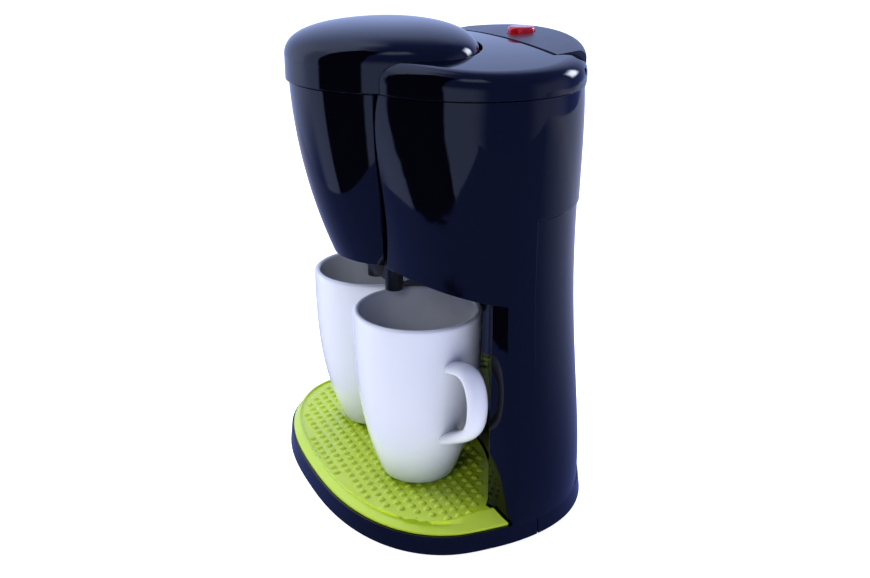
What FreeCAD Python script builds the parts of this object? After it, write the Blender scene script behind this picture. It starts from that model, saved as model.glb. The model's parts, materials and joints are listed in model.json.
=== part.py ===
import FreeCAD, Part
import math
import os

# Two-cup drip coffee maker. Millimetres, +Z up, the front faces -Y.
# The origin is on the floor under the middle of the base.

# Base and tray sizes
base_half_width = 94.0
base_half_depth = 71.0
base_waist_y = -8.0
base_fullness = 2.45
base_height = 11.0
base_draft = 1.0
floor_gap = 2.0
wall = 2.4
fit_gap = 0.3
seat_fit = 0.1
seam_gap = 0.8

# Column and head sizes
neck_height = 121.0
neck_half_width = 83.6
neck_front_y = -37.0
belly_height = 166.0
belly_front_y = -46.5
head_height = 212.0
head_half_width = 84.0
head_front_y = -52.5
head_rear_y = 68.0
head_waist_y = 5.0
head_fullness = 2.1
column_rear_y = 69.0
column_fullness = 2.4

# Mug bay sizes
bay_back_y = 22.0
bay_side_x = 80.0
bay_side_y = -6.0
bay_roof_z = 121.5
bay_roof_y = -10.0
bay_roof_slope = 0.186
wing_front_y = -13.0
wing_waist_y = 10.0
wing_margin = 2.8
bay_panel_half = 62.0
bay_panel_top_z = 102.0

# Rear cover sizes
cover_front_y = 15.5
cover_top_z = 158.0
cover_inset = 0.9
cover_gap = 0.7

# Filter holder sizes
nose_y = -18.0
nose_top_radius = 51.0
nose_belly_radius = 44.7
nose_bottom_radius = 32.3
nose_bottom_z = 127.0
holder_top_z = 211.7
holder_rear_y = 16.0
holder_floor = 2.4
pivot_x = -45.5
pivot_y = -45.0
pivot_radius = 1.5
pivot_fit = 0.05
barrel_radius = 3.4
barrel_height = 8.0
knuckle_clear = 2.4
pin_cap_height = 1.2
barrel_top_z = 204.0
swing_gap = 0.9
outlet_radius = 5.0

# Permanent filter and spout sizes
basket_x = -3.0
basket_y = -24.0
basket_top_radius = 35.0
basket_bottom_radius = 19.0
basket_wall = 1.6
basket_floor_gap = 3.0
basket_rim = 1.8
mesh_wall = 0.4
window_count = 6
spout_reach = 12.0
spout_radius = 4.6
spout_bore = 2.6
spout_bottom_z = 107.5
spout_neck_radius = 15.0

# Lids and top panel sizes
dome_radius = 52.6
dome_side = 10.0
dome_peak_z = 239.4
dome_fullness = 2.65
dome_steps = 9
dome_rear_share = 0.70
lid_top_z = 228.3
lid_wall = 2.2
lid_crown_radius = 667.0
lid_edge_round = 9.0
lid_overhang = 0.9
panel_front_y = 38.2
lid_swing_gap = 2.6
panel_half_width = 55.5
panel_rise = 3.2
panel_edge_round = 4.0
hinge_y = 48.0
hinge_z = 219.0
hinge_pin_radius = 1.6
hinge_pin_length = 9.0
lid_gap = 1.0

# Button sizes
button_y = 50.0
button_radius = 6.8
button_stand = 3.0
button_round = 1.6
button_travel = 2.0
button_fit = 0.35
button_stem_radius = 2.6
button_flange = 1.4
spring_wire = 0.7
spring_turns = 3
switch_width = 18.4

# Deck, tank and water path sizes
deck_thickness = 2.4
deck_top_z = 215.0
tank_front_y = 19.0
tank_bottom_z = 131.0
tank_wall = 2.0
tank_gap = 0.6
hose_radius = 5.0
hose_bore = 3.0
hose_x = 26.0
hose_y = 32.2
heater_top_z = 78.0
heater_bottom_z = 26.0
heater_radius = 6.5
rod_radius = 3.6
disc_radius = 8.0
disc_height = 6.0
disc_z = 56.0
fuse_radius = 2.2
valve_radius = 6.5
valve_length = 16.0
arm_radius = 4.0
arm_z = 220.4
spray_radius = 17.0
spray_thickness = 2.8
clamp_width = 5.0
clamp_thickness = 1.0

# Base plate, feet and fasteners
plate_thickness = 2.4
foot_radius = 8.0
foot_x = 62.0
foot_front_y = -42.0
foot_rear_y = 44.0
screw_radius = 1.9
screw_head_radius = 3.4
screw_head_height = 1.8
inlet_radius = 6.5
inlet_bore = 3.6
inlet_flange_radius = 8.5
inlet_x = -48.0
inlet_z = 20.0
inlet_length = 9.0
terminal_pitch = 6.0
terminal_width = 12.0
terminal_height = 9.0

# Drip tray sizes
tray_inset = 1.2
tray_lower_z = 11.2
tray_field_z = 16.2
tray_rim_width = 7.5
tray_rim_rise = 0.8
tray_wall = 2.0
tray_corner = 1.2
bump_pitch = 5.65
bump_radius = 1.7
bump_height = 1.3
bump_top_radius = 0.8
bump_sink = 0.2
bump_sides = 8
tray_column_gap = 0.8

# Mug sizes
mug_x = 33.4
mug_right_y = -21.7
mug_left_y = -18.9
mug_rim_radius = 31.6
mug_taper = 0.43
mug_taper_power = 2.85
mug_foot_round = 3.0
mug_height = 88.0
mug_side_points = 6
mug_handle_sink = 1.9
mug_wall = 3.2
mug_handle_low = 27.0
mug_handle_high = 73.0
mug_handle_reach = 22.0
mug_handle_width = 10.0
mug_handle_thickness = 6.4
mug_handle_turn = 9.0

oval_points = 24
beyond = 3.0 * head_height


def vec(x, y, z=0.0):
    return FreeCAD.Vector(x, y, z)


def up_cylinder(x, y, z, radius, height):
    return Part.makeCylinder(radius, height, vec(x, y, z))


def ring(x, y, z, radius, bore, height):
    return up_cylinder(x, y, z, radius, height).cut(up_cylinder(x, y, z, bore, height))


def block(low, high):
    return Part.makeBox(high[0] - low[0], high[1] - low[1], high[2] - low[2], vec(*low))


def oval(z, half_width, front, rear, waist, fullness, inset=0.0):
    """A closed smooth outline, widest at the waist, squarer as its fullness rises above 2."""
    points = []
    for step in range(oval_points):
        turn = 2.0 * math.pi * step / oval_points
        across = math.cos(turn)
        along = math.sin(turn)
        reach = rear - waist if along > 0 else waist - front
        x = (half_width - inset) * math.copysign(abs(across) ** (2.0 / fullness), across)
        y = waist + (reach - inset) * math.copysign(abs(along) ** (2.0 / fullness), along)
        points.append(vec(x, y, z))
    curve = Part.BSplineCurve()
    curve.interpolate(Points=points, PeriodicFlag=True)
    return Part.Wire(curve.toShape())


def prism(wire, height):
    return Part.Face(wire).extrude(vec(0, 0, height))


def revolve(edges, x, y, turn=360.0, start=0.0):
    """Turns a closed profile, drawn in the XZ plane from the axis, about an upright axis."""
    face = Part.Face(Part.Wire(edges))
    face.rotate(vec(0, 0), vec(0, 0, 1), start)
    solid = face.revolve(vec(0, 0), vec(0, 0, 1), turn)
    solid.translate(vec(x, y))
    return solid


def polyline(points):
    """Straight edges round a closed profile given as (radius, z) pairs."""
    corners = [vec(radius, 0, z) for radius, z in points]
    pairs = zip(corners, corners[1:] + corners[:1])
    return [Part.LineSegment(start, end).toShape() for start, end in pairs]


def save(name, shape):
    """Writes one piece, or one group of like pieces, as its own file."""
    solids = shape.Solids
    body = solids[0] if len(solids) == 1 else Part.makeCompound(solids)
    if not body.isValid():
        print("not valid:", name)
    print("%-18s solids %d volume %.0f" % (name, len(solids), body.Volume))
    body.exportStep("parts/%s.step" % name)


# Outer form of the base, column and head

def base_outline(z, inset=0.0, draft=0.0):
    edge = base_half_depth - draft
    return oval(z, base_half_width - draft, -edge, edge, base_waist_y, base_fullness, inset)


def column_sections(inset, low, high):
    """Outlines of the column and head from the base top to the lid seam."""
    top = base_height
    middle = (top + neck_height) / 2
    wide = base_half_width - base_draft
    mid_wide = (wide + neck_half_width) / 2
    mid_full = (column_fullness + head_fullness) / 2
    rows = [
        (top, wide, neck_front_y, column_rear_y, 0.0, column_fullness),
        (middle, mid_wide, neck_front_y, column_rear_y, head_waist_y / 2, mid_full),
        (neck_height, neck_half_width, neck_front_y, head_rear_y, head_waist_y, head_fullness),
        (belly_height, head_half_width, belly_front_y, head_rear_y, head_waist_y, head_fullness),
        (head_height, head_half_width, head_front_y, head_rear_y, head_waist_y, head_fullness),
    ]
    sections = [oval(*row, inset) for row in rows]
    loft = Part.makeLoft(sections, True, False)
    if low < top:
        loft = loft.fuse(prism(oval(low, *rows[0][1:], inset), top - low))
    if high > head_height:
        loft = loft.fuse(prism(oval(head_height, *rows[-1][1:], inset), high - head_height))
    return loft


def bay_arc_solid(grow, low, high):
    """The upright round space in front of the bay's back wall."""
    sag = bay_back_y - bay_side_y
    radius = (bay_side_x ** 2 + sag ** 2) / (2.0 * sag)
    return up_cylinder(0, bay_back_y - radius, low, radius + grow, high - low)


def bay_space(grow):
    """The space of the mug bay, grown by a wall for the inside of the column."""
    span = 2.0 * base_half_width
    low = base_height - grow
    roof = lambda y: bay_roof_z - bay_roof_slope * (y - bay_roof_y) + grow
    corners = [(-span, low), (span, low), (span, roof(span)), (-span, roof(-span))]
    points = [vec(-span, y, z) for y, z in corners]
    points.append(points[0])
    space = Part.Face(Part.makePolygon(points)).extrude(vec(2 * span, 0, 0))
    top = bay_roof_z + span
    rear = base_half_depth + span
    wide = base_half_width + wing_margin
    neck = neck_half_width + wing_margin
    foot = oval(0, wide, wing_front_y, rear, wing_waist_y, base_fullness, grow)
    head = oval(neck_height, neck, wing_front_y, rear, wing_waist_y, base_fullness, grow)
    crown = oval(top, neck, wing_front_y, rear, wing_waist_y, base_fullness, grow)
    wing = Part.makeLoft([foot, head, crown], True, True)
    wing = wing.cut(bay_arc_solid(grow, -span, top + span))
    return space.cut(wing)


def nose_profile(grow, low, high):
    """Half profile of the round filter holder, from its axis out."""
    top = vec(nose_top_radius + grow, 0, head_height)
    middle = vec(nose_belly_radius + grow, 0, belly_height)
    bottom = vec(nose_bottom_radius + grow, 0, nose_bottom_z)
    edges = [
        Part.LineSegment(vec(0, 0, low), vec(bottom.x, 0, low)).toShape(),
        Part.Arc(bottom, middle, top).toShape(),
        Part.LineSegment(vec(top.x, 0, high), vec(0, 0, high)).toShape(),
        Part.LineSegment(vec(0, 0, high), vec(0, 0, low)).toShape(),
    ]
    if low < nose_bottom_z:
        edges.insert(1, Part.LineSegment(vec(bottom.x, 0, low), bottom).toShape())
    if high > head_height:
        edges.insert(-2, Part.LineSegment(top, vec(top.x, 0, high)).toShape())
    return edges


def nose_solid(grow, low, high):
    """The round nose between two heights."""
    solid = revolve(nose_profile(grow, min(low, nose_bottom_z), max(high, head_height)), 0, nose_y)
    return solid.common(block((-beyond, -beyond, low), (beyond, beyond, high)))


def rear_zone(grow):
    """The lower rear of the column, which the rear cover closes behind the bay's back wall."""
    zone = block((-beyond, cover_front_y - grow, -beyond), (beyond, beyond, cover_top_z + grow))
    return zone.cut(bay_arc_solid(wall + seam_gap - grow, -beyond, beyond))


def bay_panel_zone(grow):
    """The middle of the bay's back wall, which a panel of its own closes."""
    half = bay_panel_half + grow
    zone = block((-half, bay_side_y, base_height), (half, beyond, bay_panel_top_z + grow))
    return zone.common(bay_arc_solid(wall + grow, 0, beyond))


def build_shell():
    """The whole outer wall before it is parted into front housing and rear cover."""
    skirt = Part.makeLoft([base_outline(floor_gap), base_outline(base_height, 0.0, base_draft)], True)
    outer = skirt.fuse(column_sections(0.0, base_height, head_height)).cut(bay_space(0.0))
    shelf = base_height - wall
    hollow = prism(base_outline(-wall, wall, base_draft), shelf + wall)
    core = column_sections(wall, shelf, head_height + wall).cut(bay_space(wall))
    return outer.cut(hollow).cut(core)


def build_rear_cover(shell):
    """Rear cover, set a little behind the head's wall, with the hole for the power inlet."""
    cover = shell.common(rear_zone(-cover_gap))
    skirt = cover.common(block((-beyond, -beyond, 0), (beyond, beyond, base_height)))
    upper = cover.common(column_sections(cover_inset, base_height, head_height))
    hole_radius = inlet_flange_radius + seat_fit
    hole = Part.makeCylinder(hole_radius, beyond, vec(inlet_x, hose_y, inlet_z), vec(0, 1, 0))
    return skirt.fuse(upper).cut(hole)


# Swing of the filter holder about its upright pin

def seam_point(radius, front, half_width):
    """Where the round nose meets the shoulder of the head on the side away from the pin."""
    outside = -80.0
    inside = 0.0
    for _ in range(40):
        turn = (inside + outside) / 2
        x = radius * math.cos(math.radians(turn))
        y = nose_y + radius * math.sin(math.radians(turn))
        depth = abs(y - head_waist_y) / (head_waist_y - front)
        level = (x / half_width) ** head_fullness + depth ** head_fullness
        if level > 1.0:
            outside = turn
        else:
            inside = turn
    return x, y


def swing_limit(inset):
    """The round space about the pin that the holder may fill and still swing out past the seam."""
    rows = [
        (nose_bottom_z, nose_bottom_radius, neck_front_y, neck_half_width),
        (belly_height, nose_belly_radius, belly_front_y, head_half_width),
        (head_height, nose_top_radius, head_front_y, head_half_width),
    ]
    points = []
    for z, radius, front, half_width in rows:
        x, y = seam_point(radius, front, half_width)
        points.append(vec(math.hypot(x - pivot_x, y - pivot_y) - swing_gap - inset, 0, z))
    low, middle, high = points
    edges = [
        Part.LineSegment(vec(0, 0, low.z), low).toShape(),
        Part.Arc(low, middle, high).toShape(),
        Part.LineSegment(high, vec(0, 0, high.z)).toShape(),
        Part.LineSegment(vec(0, 0, high.z), vec(0, 0, low.z)).toShape(),
    ]
    return revolve(edges, pivot_x, pivot_y)


def hinge_barrel(low, height):
    """One knuckle round the holder's pin."""
    return ring(pivot_x, pivot_y, low, barrel_radius, pivot_radius + pivot_fit, height)


def hinge_web(low, height, x, y):
    """A flat web from a knuckle to the wall at x, y."""
    reach = math.hypot(x - pivot_x, y - pivot_y)
    web = Part.makeBox(reach, 2.0 * barrel_radius, height, vec(0, -barrel_radius, low))
    web.rotate(vec(0, 0), vec(0, 0, 1), math.degrees(math.atan2(y - pivot_y, x - pivot_x)))
    web.translate(vec(pivot_x, pivot_y))
    return web.cut(up_cylinder(pivot_x, pivot_y, low, pivot_radius + pivot_fit, height))


barrel_step = barrel_height + fit_gap
barrel_low_z = barrel_top_z - 2 * barrel_step - barrel_height


def build_front_housing(shell):
    body = shell.cut(rear_zone(0.0))
    body = body.cut(nose_solid(seam_gap, nose_bottom_z - seam_gap, head_height + wall))
    outlet = block((-beyond, -beyond, 0), (beyond, basket_y + spout_neck_radius + wall, beyond))
    body = body.cut(nose_solid(seam_gap, spout_bottom_z, nose_bottom_z).common(outlet))
    low = barrel_low_z + barrel_step
    swing_top = barrel_top_z + fit_gap + pin_cap_height + seam_gap
    swing_low = barrel_low_z - seam_gap
    swing_radius = barrel_radius + knuckle_clear
    body = body.cut(up_cylinder(pivot_x, pivot_y, swing_low, swing_radius, swing_top - swing_low))
    web = hinge_web(low, barrel_height, pivot_x - 2 * barrel_radius, pivot_y + 2.5 * barrel_radius)
    web = web.cut(nose_solid(seam_gap, spout_bottom_z, head_height))
    body = body.fuse(web).fuse(hinge_barrel(low, barrel_height))
    for x, y, top in boss_spots:
        body = body.fuse(up_cylinder(x, y, boss_bottom_z, boss_radius, top - boss_bottom_z))
        body = body.cut(up_cylinder(x, y, boss_bottom_z, screw_radius, boss_bottom_z))
    return body.cut(bay_panel_zone(fit_gap))


def build_bay_panel(shell):
    return shell.common(bay_panel_zone(0.0))


def build_filter_holder():
    outer = nose_solid(0.0, nose_bottom_z, holder_top_z).common(swing_limit(0.0))
    outer = outer.common(block((-beyond, -beyond, 0), (beyond, holder_rear_y, beyond)))
    inner = nose_solid(-wall, nose_bottom_z, head_height).common(swing_limit(wall))
    low = nose_bottom_z + holder_floor
    inner = inner.common(block((-beyond, -beyond, low), (beyond, holder_rear_y - wall, beyond)))
    body = outer.cut(inner)
    body = body.cut(up_cylinder(basket_x, basket_y, 0, outlet_radius, beyond))
    reach = barrel_top_z + barrel_height - barrel_low_z
    body = body.cut(up_cylinder(pivot_x, pivot_y, barrel_low_z - fit_gap, barrel_radius + fit_gap, reach))
    for low in (barrel_low_z, barrel_low_z + 2 * barrel_step):
        web = hinge_web(low, barrel_height, pivot_x + 2.5 * barrel_radius, pivot_y + barrel_radius)
        body = body.fuse(web.cut(inner)).fuse(hinge_barrel(low, barrel_height))
    return body


def build_pivot_pin():
    reach = barrel_top_z - barrel_low_z
    pin = up_cylinder(pivot_x, pivot_y, barrel_low_z, pivot_radius, reach)
    cap = up_cylinder(pivot_x, pivot_y, barrel_top_z + fit_gap, barrel_radius * 0.8, pin_cap_height)
    return pin.fuse(up_cylinder(pivot_x, pivot_y, barrel_top_z, pivot_radius, fit_gap)).fuse(cap)


# Permanent filter and coffee spout

basket_low_z = nose_bottom_z + holder_floor
basket_top_z = holder_top_z - basket_rim


def basket_cone(grow, low, high, floor=0.0):
    foot = basket_low_z + basket_floor_gap
    slope = (basket_top_radius - basket_bottom_radius) / (basket_top_z - foot)
    start = basket_bottom_radius + slope * (low + floor - foot) + grow
    end = basket_bottom_radius + slope * (high - foot) + grow
    return Part.makeCone(start, end, high - low - floor, vec(basket_x, basket_y, low + floor))


def build_filter_frame():
    """Cone frame of the permanent filter, with tall windows, a rim and feet."""
    foot = basket_low_z + basket_floor_gap
    frame = basket_cone(0.0, foot, basket_top_z)
    frame = frame.cut(basket_cone(-basket_wall, foot, basket_top_z, basket_wall))
    low = foot + 8 * basket_wall
    high = basket_top_z - 6 * basket_wall
    width = 2.0 * math.pi * basket_bottom_radius / window_count - 4 * basket_wall
    for number in range(window_count):
        window = block((0, -width / 2, low), (beyond, width / 2, high))
        window.rotate(vec(0, 0), vec(0, 0, 1), 360.0 * number / window_count)
        window.translate(vec(basket_x, basket_y))
        frame = frame.cut(window)
        leg = block((basket_bottom_radius - 3 * basket_wall, -basket_wall, basket_low_z),
                    (basket_bottom_radius - basket_wall, basket_wall, foot))
        leg.rotate(vec(0, 0), vec(0, 0, 1), 360.0 * (number + 0.5) / window_count)
        leg.translate(vec(basket_x, basket_y))
        frame = frame.fuse(leg)
    rim = ring(basket_x, basket_y, basket_top_z - basket_rim, basket_top_radius + basket_wall,
               basket_top_radius - basket_wall, basket_rim)
    return frame.fuse(rim)


def build_filter_mesh():
    """Fine mesh cup that lines the frame."""
    low = basket_low_z + basket_floor_gap + basket_wall
    high = basket_top_z - basket_rim
    seat = -basket_wall - seat_fit
    cup = basket_cone(seat, low + seat_fit, high)
    return cup.cut(basket_cone(seat - mesh_wall, low + seat_fit, high, mesh_wall))


def build_spout():
    """Splitter below the holder that leads the coffee to two nozzles."""
    bar_top = nose_bottom_z - 6.0
    bar_low = spout_bottom_z + 5.0
    neck = Part.makeCone(spout_radius + 2.0, spout_neck_radius, nose_bottom_z - bar_low,
                         vec(basket_x, basket_y, bar_low))
    bar = block((basket_x - spout_reach, basket_y - spout_radius, bar_low),
                (basket_x + spout_reach, basket_y + spout_radius, bar_top))
    body = neck.fuse(bar)
    for side in (-1, 1):
        x = basket_x + side * spout_reach
        body = body.fuse(up_cylinder(x, basket_y, spout_bottom_z, spout_radius, bar_top - spout_bottom_z))
    inner_top = bar_top - 1.6
    channel = block((basket_x - spout_reach, basket_y - spout_bore, bar_low + 1.6),
                    (basket_x + spout_reach, basket_y + spout_bore, inner_top))
    body = body.cut(channel).cut(up_cylinder(basket_x, basket_y, inner_top - 1, outlet_radius, nose_bottom_z))
    for side in (-1, 1):
        x = basket_x + side * spout_reach
        body = body.cut(up_cylinder(x, basket_y, 0, spout_bore, inner_top))
    return body


# Lids and top panel

def dome_half(inset, front):
    """Front or rear half of the domed cover; the rear half is drawn in towards the middle."""
    foot = head_height + lid_gap / 2
    side = foot + dome_side
    rise = dome_peak_z - side
    points = []
    for step in range(dome_steps + 1):
        turn = math.pi / 2 * step / dome_steps
        out = max(math.cos(turn), 0.0) ** (2.0 / dome_fullness)
        rise_share = math.sin(turn) ** (2.0 / dome_fullness)
        points.append(vec((dome_radius - inset) * out, 0, side + (rise - inset) * rise_share))
    points[-1].x = 0.0
    crown = Part.BSplineCurve()
    crown.interpolate(Points=points)
    low = foot - (lid_wall if inset else 0.0)
    edges = [
        Part.LineSegment(vec(0, 0, low), vec(dome_radius - inset, 0, low)).toShape(),
        Part.LineSegment(vec(dome_radius - inset, 0, low), points[0]).toShape(),
        crown.toShape(),
        Part.LineSegment(points[-1], vec(0, 0, low)).toShape(),
    ]
    half = revolve(edges, 0, 0, 180.0, 180.0 if front else 0.0)
    if not front:
        squeeze = FreeCAD.Matrix()
        squeeze.scale(1.0, (dome_radius * dome_rear_share - inset) / (dome_radius - inset), 1.0)
        half = half.transformGeometry(squeeze)
    half.translate(vec(0, nose_y))
    return half


def build_filter_cover():
    """Domed cover over the filter, notched at the rear for the water arm."""
    front = dome_half(0.0, True).cut(dome_half(lid_wall, True))
    rear = dome_half(0.0, False).cut(dome_half(lid_wall, False))
    notch = block((basket_x - 2 * arm_radius, nose_y, 0), (hose_x, hose_y, arm_z + 2 * arm_radius))
    return front.fuse(rear.cut(notch)).cut(build_deck())


def dome_zone(grow, low, high):
    """The upright space round the domed cover's edge."""
    radius = dome_radius + grow
    rear = dome_radius * dome_rear_share + grow
    ends = [vec(radius, nose_y, low), vec(-radius, nose_y, low)]
    front = Part.Arc(ends[1], vec(0, nose_y - radius, low), ends[0]).toShape()
    oval_arc = Part.Ellipse(vec(radius, nose_y, low), vec(0, nose_y + rear, low), vec(0, nose_y, low))
    back = Part.ArcOfEllipse(oval_arc, 0.0, math.pi).toShape()
    return prism(Part.Wire([front, back]), high - low)


def crown_space(drop, tilt, start_y):
    """Everything under the gently crowned top, tilted up to the rear from start_y."""
    span = 2.0 * base_half_width
    peak = lid_top_z - drop
    fall = span ** 2 / (2.0 * lid_crown_radius)
    left = vec(-span, -span, peak - fall)
    right = vec(span, -span, peak - fall)
    edges = [
        Part.Arc(left, vec(0, -span, peak), right).toShape(),
        Part.LineSegment(right, vec(span, -span, -span)).toShape(),
        Part.LineSegment(vec(span, -span, -span), vec(-span, -span, -span)).toShape(),
        Part.LineSegment(vec(-span, -span, -span), left).toShape(),
    ]
    space = Part.Face(Part.Wire(edges)).extrude(vec(0, 2 * span, 0))
    space.rotate(vec(0, start_y, lid_top_z), vec(1, 0, 0), tilt)
    return space


def head_outline(z, inset):
    return oval(z, head_half_width, head_front_y, head_rear_y, head_waist_y, head_fullness, inset)


def lid_cap(inset, drop):
    """The rounded cap over the whole head that the tank lid is cut from."""
    foot = head_height + lid_gap / 2
    low = foot - drop
    cap = prism(head_outline(low, inset - lid_overhang), 2 * lid_edge_round + foot)
    cap = cap.common(crown_space(drop, 0.0, 0.0))
    high = [edge for edge in cap.Edges if edge.BoundBox.ZMin > low + lid_wall]
    rim = [edge for edge in high if edge.BoundBox.XLength > head_half_width]
    return cap.makeFillet(lid_edge_round - drop / 2, rim)


def hinge_lug(side, radius, start, end):
    lug = Part.makeCylinder(radius, end - start, vec(start, hinge_y, hinge_z), vec(1, 0, 0))
    return lug if side > 0 else lug.mirror(vec(0, 0), vec(1, 0, 0))


def build_tank_lid():
    cap = lid_cap(0.0, 0.0)
    lid = cap.cut(lid_cap(lid_wall, lid_wall))
    lid = lid.cut(dome_zone(lid_gap, 0, beyond))
    inner_x = panel_half_width + lid_gap
    lid = lid.cut(block((-inner_x, panel_front_y - lid_swing_gap, 0), (inner_x, beyond, beyond)))
    lid = lid.cut(block((-beyond, hinge_y + 1.5 * barrel_radius, 0), (beyond, beyond, beyond)))
    heel = block((-beyond, hinge_y, 0), (beyond, beyond, hinge_z))
    lid = lid.cut(heel.cut(hinge_lug(1, hinge_z - head_height - lid_gap, -beyond, beyond)))
    for side in (-1, 1):
        lug = hinge_lug(side, barrel_radius, inner_x, head_half_width).common(cap)
        lid = lid.fuse(lug)
        lid = lid.cut(hinge_lug(side, hinge_pin_radius + pivot_fit, 0, inner_x + hinge_pin_length))
    return lid


def panel_body(inset, drop):
    foot = head_height + lid_gap / 2
    tilt = math.degrees(math.atan2(panel_rise, head_rear_y - panel_front_y))
    body = prism(head_outline(foot - drop, inset), beyond)
    body = body.common(crown_space(drop, tilt, panel_front_y))
    half = panel_half_width - inset
    return body.common(block((-half, panel_front_y + inset, 0), (half, beyond, beyond)))


def build_switch_panel():
    outer = panel_body(0.0, 0.0)
    top = [edge for edge in outer.Edges if edge.BoundBox.ZMin > lid_top_z - lid_edge_round
           and edge.BoundBox.YMax > panel_front_y + lid_wall and edge.BoundBox.XLength > panel_half_width]
    outer = outer.makeFillet(panel_edge_round, top)
    body = outer.cut(panel_body(wall, wall))
    body = body.cut(up_cylinder(0, button_y, 0, button_radius + button_fit, 2 * lid_top_z))
    for side in (-1, 1):
        boss = hinge_lug(side, barrel_radius, panel_half_width - 2 * wall, panel_half_width)
        body = body.fuse(boss).cut(hinge_lug(side, hinge_pin_radius, 0, panel_half_width + 1.0))
    return body.cut(build_deck())


def build_hinge_pins():
    start = panel_half_width - 2 * wall
    pin = hinge_lug(1, hinge_pin_radius, start, start + hinge_pin_length)
    return Part.makeCompound([pin, pin.mirror(vec(0, 0), vec(1, 0, 0))])


# Power button and its switch

panel_slope = panel_rise / (head_rear_y - panel_front_y)
button_seat_z = lid_top_z + panel_slope * (button_y - panel_front_y)
flange_radius = button_radius + button_fit + 1.2
flange_top_z = button_seat_z - wall - panel_slope * flange_radius - 2 * fit_gap
switch_top_z = flange_top_z - button_flange - button_travel - 2.0
stem_low_z = switch_top_z - 1.0


def build_button():
    top = button_seat_z + button_stand
    low = flange_top_z - button_flange
    cap = up_cylinder(0, button_y, low, button_radius, top - low)
    rim = [edge for edge in cap.Edges if edge.BoundBox.ZMin > top - 0.1]
    cap = cap.makeFillet(button_round, rim)
    cap = cap.fuse(up_cylinder(0, button_y, low, flange_radius, button_flange))
    return cap.fuse(up_cylinder(0, button_y, stem_low_z, button_stem_radius, flange_top_z - stem_low_z))


def build_switch():
    half = switch_width / 2
    body = block((-half, button_y - half, deck_top_z), (half, button_y + half, switch_top_z))
    low = stem_low_z - button_travel - fit_gap
    well = up_cylinder(0, button_y, low, button_stem_radius + button_fit, switch_top_z - low)
    return body.cut(well)


def build_button_spring():
    """Coil between the switch and the button's flange, drawn as flat turns joined in zigzag."""
    radius = button_stem_radius + 2.0
    low = switch_top_z
    high = flange_top_z - button_flange
    pitch = (high - low - spring_wire) / spring_turns
    body = ring(0, button_y, low, radius, radius - spring_wire, spring_wire)
    for number in range(spring_turns):
        z = low + number * pitch
        x = (radius - spring_wire / 2) * (-1) ** number
        half = spring_wire / 2
        top = z + pitch + spring_wire
        rise = block((x - half, button_y - spring_wire, z), (x + half, button_y + spring_wire, top))
        body = body.fuse(ring(0, button_y, z + pitch, radius, radius - spring_wire, spring_wire)).fuse(rise)
    return body


# Deck, tank and water path

deck_low_z = deck_top_z - deck_thickness
spray_low_z = holder_top_z + 2 * fit_gap


def build_deck():
    """Inner plate that carries the domed cover and closes the head."""
    plate = prism(head_outline(deck_low_z, wall + fit_gap / 3), deck_thickness)
    plate = plate.fuse(up_cylinder(0, nose_y, deck_low_z, nose_top_radius - wall, deck_thickness))
    side = panel_half_width - 3 * wall
    mouth = block((-side, tank_front_y + wall, 0), (side, panel_front_y - lid_gap, beyond))
    plate = plate.cut(mouth)
    heel = block((panel_half_width + fit_gap, hinge_y - 4 * barrel_radius, 0), (beyond, beyond, beyond))
    plate = plate.cut(heel).cut(heel.mirror(vec(0, 0), vec(1, 0, 0)))
    return plate.cut(up_cylinder(basket_x, basket_y, 0, spray_radius - spray_thickness, beyond))


def tank_body(inset):
    body = column_sections(wall + tank_gap + inset, base_height, head_height)
    low = tank_bottom_z + inset
    return body.common(block((-beyond, tank_front_y + inset, low), (beyond, beyond, deck_low_z)))


def build_tank():
    body = tank_body(0.0).cut(tank_body(tank_wall))
    spigot_low = tank_bottom_z - 2 * hose_radius
    body = body.fuse(up_cylinder(-hose_x, hose_y, spigot_low, hose_bore, tank_bottom_z - spigot_low))
    body = body.cut(up_cylinder(-hose_x, hose_y, 0, hose_bore - 1.2, tank_bottom_z + 2 * tank_wall))
    return body.cut(up_cylinder(hose_x, hose_y, 0, arm_radius, tank_bottom_z + 2 * tank_wall))


def build_inlet_hose():
    spigot_low = tank_bottom_z - 2 * hose_radius
    top = ring(-hose_x, hose_y, valve_high_z, hose_radius, hose_bore, tank_bottom_z - valve_high_z)
    bottom = ring(-hose_x, hose_y, heater_top_z - 2 * hose_radius, hose_radius, hose_bore,
                  valve_low_z - heater_top_z + 2 * hose_radius)
    return Part.makeCompound([top, bottom])


valve_low_z = heater_top_z + 12.0
valve_high_z = valve_low_z + valve_length


def build_check_valve():
    """Straight non-return valve between the two lengths of the inlet hose."""
    body = up_cylinder(-hose_x, hose_y, valve_low_z, valve_radius, valve_length)
    for low in (valve_low_z - hose_radius, valve_high_z):
        body = body.fuse(up_cylinder(-hose_x, hose_y, low, hose_bore, hose_radius))
    return body.cut(up_cylinder(-hose_x, hose_y, 0, hose_bore - 1.2, head_height))


def u_tube(radius, y, leg_top, spread, low):
    """A tube bent to an upright U, its legs apart by twice the spread."""
    centre = low + spread
    bend = Part.makeTorus(spread, radius, vec(0, y, centre), vec(0, 1, 0))
    half = block((-3 * spread, y - 2 * radius, low - 2 * radius), (3 * spread, y + 2 * radius, centre))
    body = bend.common(half)
    for side in (-1, 1):
        body = body.fuse(up_cylinder(side * spread, y, centre, radius, leg_top - centre))
    return body


def build_heater():
    seat = heater_top_z - 2 * hose_radius
    body = u_tube(heater_radius, hose_y, seat, hose_x, heater_bottom_z)
    for side in (-1, 1):
        body = body.fuse(up_cylinder(side * hose_x, hose_y, seat, hose_bore, 2 * hose_radius))
    return body.cut(u_tube(hose_bore - 1.2, hose_y, head_height, hose_x, heater_bottom_z))


def build_heating_rod():
    return u_tube(rod_radius, hose_y + heater_radius + rod_radius, heater_top_z, hose_x, heater_bottom_z)


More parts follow.
